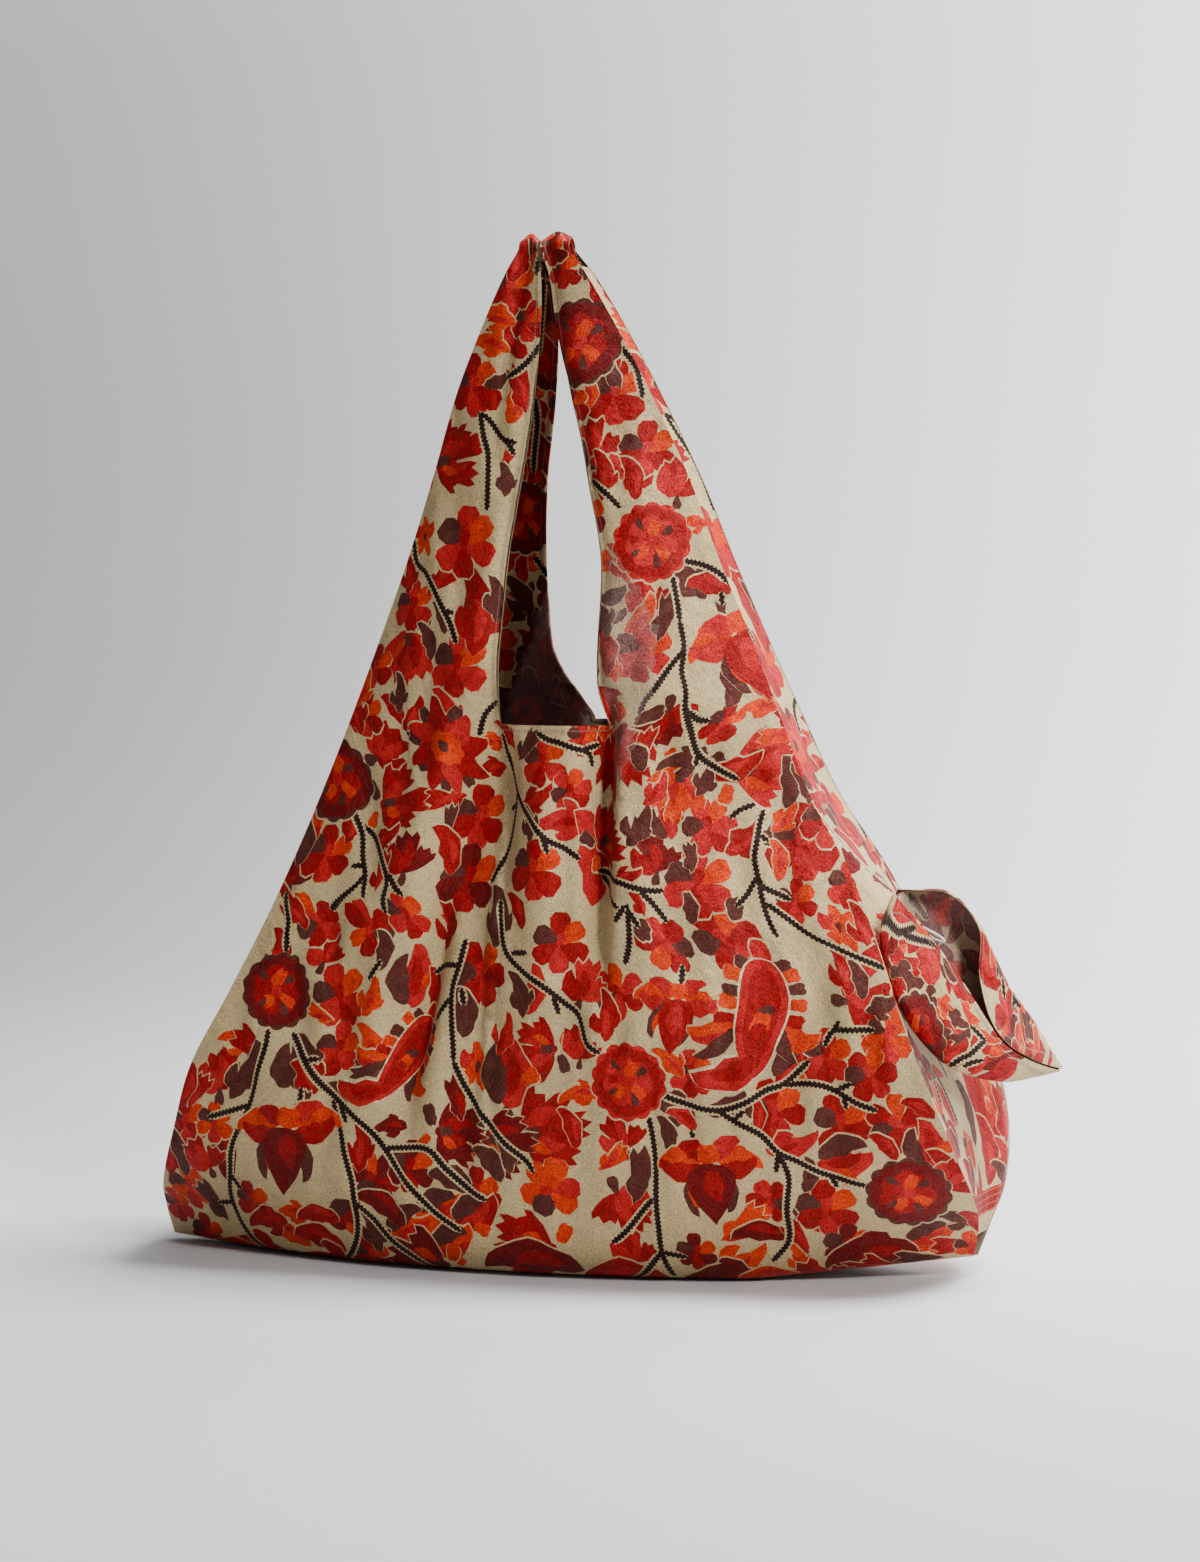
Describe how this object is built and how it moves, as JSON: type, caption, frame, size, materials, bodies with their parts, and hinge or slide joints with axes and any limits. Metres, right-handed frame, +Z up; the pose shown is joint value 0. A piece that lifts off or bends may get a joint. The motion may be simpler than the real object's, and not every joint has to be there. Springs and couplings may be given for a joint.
{
  "type": "reusable shopping bag",
  "caption": "Thin printed cloth shopping bag standing open, its wide straps drawn up to a peak, with side gussets and a small stow pouch on one side.",
  "frame": {"origin": "on the surface the bag stands on, under the middle of its outline", "axes": "+Z up, the front faces -Y, the stow pouch hangs on the +X side"},
  "size_m": [0.5526, 0.1874, 0.6177],
  "materials": {
    "front_panel": "thin crepe-grained silk with a red and orange flower print",
    "back_panel": "thin crepe-grained silk with a red and orange flower print",
    "gusset_left": "thin crepe-grained silk with a red and orange flower print",
    "gusset_right": "thin crepe-grained silk with a red and orange flower print",
    "stow_pouch": "thin crepe-grained silk with a red and orange flower print",
    "pouch_loop": "pale fine-stranded cord"
  },
  "bodies": {
    "root": {"front_panel": "front_panel", "back_panel": "back_panel", "gusset_left": "gusset_left", "gusset_right": "gusset_right", "stow_pouch": "stow_pouch", "pouch_loop": "pouch_loop"}
  },
  "joints": []
}
